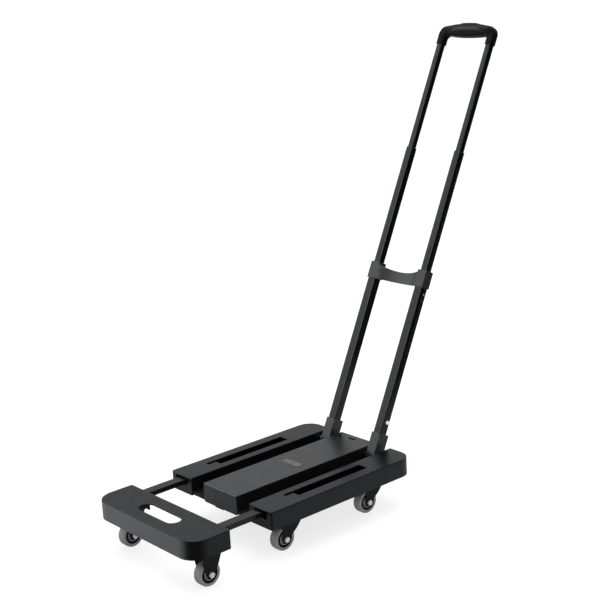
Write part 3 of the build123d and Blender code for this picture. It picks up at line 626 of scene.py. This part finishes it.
def area(name, place, aim, size, energy):
    """A rectangular lamp that faces a point."""
    lamp = bpy.data.lights.new(name, "AREA")
    lamp.shape, lamp.size, lamp.size_y = "RECTANGLE", size[0], size[1]
    lamp.energy = energy
    o = bpy.data.objects.new(name, lamp)
    bpy.context.scene.collection.objects.link(o)
    o.location = place
    o.rotation_euler = (Vector(aim) - Vector(place)).to_track_quat("-Z", "Y").to_euler()


def sheet_mesh(name, corners, material):
    """One flat quad, for the floor and the studio's flags."""
    mesh = bpy.data.meshes.new(name)
    form = bmesh.new()
    form.faces.new([form.verts.new(c) for c in corners])
    form.to_mesh(mesh)
    form.free()
    mesh.materials.append(material)
    o = bpy.data.objects.new(name, mesh)
    bpy.context.scene.collection.objects.link(o)
    return o


def flag(name, left, right, bottom, top):
    """A black studio card standing on the floor, which only takes reflections away."""
    black = Graph(name + "_card")
    black.set(Base_Color=(0.0, 0.0, 0.0, 1), Roughness=1.0, Specular_IOR_Level=0.0)
    corners = [(*left, bottom), (*right, bottom), (*right, top), (*left, top)]
    card = sheet_mesh(name, corners, black.material)
    card.visible_camera = card.visible_diffuse = card.visible_shadow = False
    card.visible_transmission = card.visible_volume_scatter = False


REFLECTED = [  # direction, where the card is even, where it ends (degrees), strength
    ((0, 0, 1), 60, 180, 0.07),               # faint glow from above
    ((-0.75, -0.62, 0.14), 20, 42, 1.3),      # the big soft box at the left front
    ((-0.73, 0.63, 0.22), 15, 50, 0.50),      # the far wall, seen in the flat tops
    ((0.66, -0.72, 0.24), 15, 45, 0.30),      # the near wall, for views from behind
    ((0.20, 0.95, 0.25), 15, 45, 0.30),       # the back wall
    ((0.38, 0.64, 0.66), 8, 18, 2.5),         # strip for the right-hand top edges
    ((-0.66, -0.30, 0.69), 5, 13, 6.0),       # strip that lights the front top edges
    ((0.40, -0.82, 0.42), 8, 20, 9.0),        # strip above the eye, for the tubes' corners
]


def sky():
    """White for the eye and for soft light; in reflections a bright left front and dark elsewhere."""
    world = bpy.data.worlds.new("studio")
    bpy.context.scene.world = world
    world.use_nodes = True
    nodes, links = world.node_tree.nodes, world.node_tree.links
    white, card = nodes["Background"], nodes.new("ShaderNodeBackground")
    white.inputs["Color"].default_value = (1, 1, 1, 1)
    white.inputs["Strength"].default_value = SKY_STRENGTH
    way = nodes.new("ShaderNodeTexCoord").outputs["Generated"]
    total = None
    for aim, inner, outer, gain in REFLECTED:
        dot = nodes.new("ShaderNodeVectorMath")
        dot.operation = "DOT_PRODUCT"
        links.new(way, dot.inputs[0])
        dot.inputs[1].default_value = Vector(aim).normalized()
        span = nodes.new("ShaderNodeMapRange")
        span.interpolation_type = "SMOOTHSTEP"
        links.new(dot.outputs["Value"], span.inputs["Value"])
        span.inputs["From Min"].default_value = math.cos(math.radians(outer))
        span.inputs["From Max"].default_value = math.cos(math.radians(inner))
        span.inputs["To Max"].default_value = gain
        if total is None:
            total = span.outputs[0]
        else:
            add = nodes.new("ShaderNodeMath")
            links.new(total, add.inputs[0])
            links.new(span.outputs[0], add.inputs[1])
            total = add.outputs[0]
    card.inputs["Color"].default_value = CARD_COLOUR
    links.new(total, card.inputs["Strength"])
    mix, path = nodes.new("ShaderNodeMixShader"), nodes.new("ShaderNodeLightPath")
    links.new(path.outputs["Is Glossy Ray"], mix.inputs[0])
    links.new(white.outputs[0], mix.inputs[1])
    links.new(card.outputs[0], mix.inputs[2])
    links.new(mix.outputs[0], nodes["World Output"].inputs["Surface"])
    world.cycles.sampling_method = "NONE"


def floor_paper():
    """Pale paper; what polished faces see of it is brighter towards the left front."""
    graph = Graph("floor_paper")
    tone = graph.mix(graph.noise(1.5), PAPER, PAPER_PATCH)
    graph.set(Base_Color=tone, Roughness=0.9, Specular_IOR_Level=0.1, Emission_Color=(1, 1, 1, 1),
              Emission_Strength=FLOOR_GLOW)
    across = graph.node("ShaderNodeSeparateXYZ", {0: graph.place})
    x, y = across.outputs["X"], across.outputs["Y"]
    near = graph.span(y, 0.95, 0.0, *NEAR_FADE, smooth=True)
    left = graph.span(x, 1.0, 0.0, *LEFT_FADE, smooth=True)
    beside = graph.span(y, 0.0, 0.34, *BESIDE_FADE, smooth=True)
    shade = graph.math("ADD", graph.math("MULTIPLY", near, left), beside, clamp=True)
    dim = graph.node("ShaderNodeMixShader")
    card = graph.mix(shade, (0, 0, 0, 1), FLOOR_CARD_COLOUR)
    seen = graph.node("ShaderNodeBsdfDiffuse", {"Color": card})
    graph.links.new(graph.node("ShaderNodeLightPath").outputs["Is Glossy Ray"], dim.inputs[0])
    graph.links.new(graph.shader.outputs[0], dim.inputs[1])
    graph.links.new(seen.outputs[0], dim.inputs[2])
    graph.links.new(dim.outputs[0], graph.nodes["Material Output"].inputs["Surface"])
    return graph.material


def studio():
    """White sky, pale floor, two black cards for reflections, and one lamp overhead."""
    sky()
    sheet_mesh("floor", [(x * FLOOR_HALF, y * FLOOR_HALF, 0) for x, y in CORNERS], floor_paper())
    flag("right_flag", (0.50, -0.40), (0.50, 1.60), 0.0, 2.2)
    flag("corner_flag", (0.10, -0.76), (0.55, -0.38), 0.0, 0.45)
    area("overhead", (-0.2, 0.1, 3.2), (0, 0, 0), (3.2, 3.2), 70)


studio()


# ---------------------------------------------------------------- camera
CAMERA_AT = (1.9131, -1.7053, 1.1029)
CAMERA_TURN = (49.32, -14.44, -3.13)      # yaw, pitch and roll in degrees
CAMERA_LENS, SENSOR_WIDTH = 76.47, 36.0   # mm


def camera():
    """The photograph's viewpoint."""
    yaw, pitch, roll = (math.radians(v) for v in CAMERA_TURN)
    ahead = Vector((-math.sin(yaw), math.cos(yaw), 0))
    forward = ahead * math.cos(pitch) + Vector((0, 0, math.sin(pitch)))
    level = Vector((math.cos(yaw), math.sin(yaw), 0))
    above = level.cross(forward)
    right = level * math.cos(roll) + above * math.sin(roll)
    up = above * math.cos(roll) - level * math.sin(roll)
    data = bpy.data.cameras.new("camera")
    data.sensor_width, data.lens = SENSOR_WIDTH, CAMERA_LENS
    o = bpy.data.objects.new("camera", data)
    bpy.context.scene.collection.objects.link(o)
    turn = Matrix((right, up, -forward)).transposed().to_4x4()
    o.matrix_world = Matrix.Translation(CAMERA_AT) @ turn
    bpy.context.scene.camera = o


camera()
bpy.context.scene.view_settings.view_transform = "Standard"
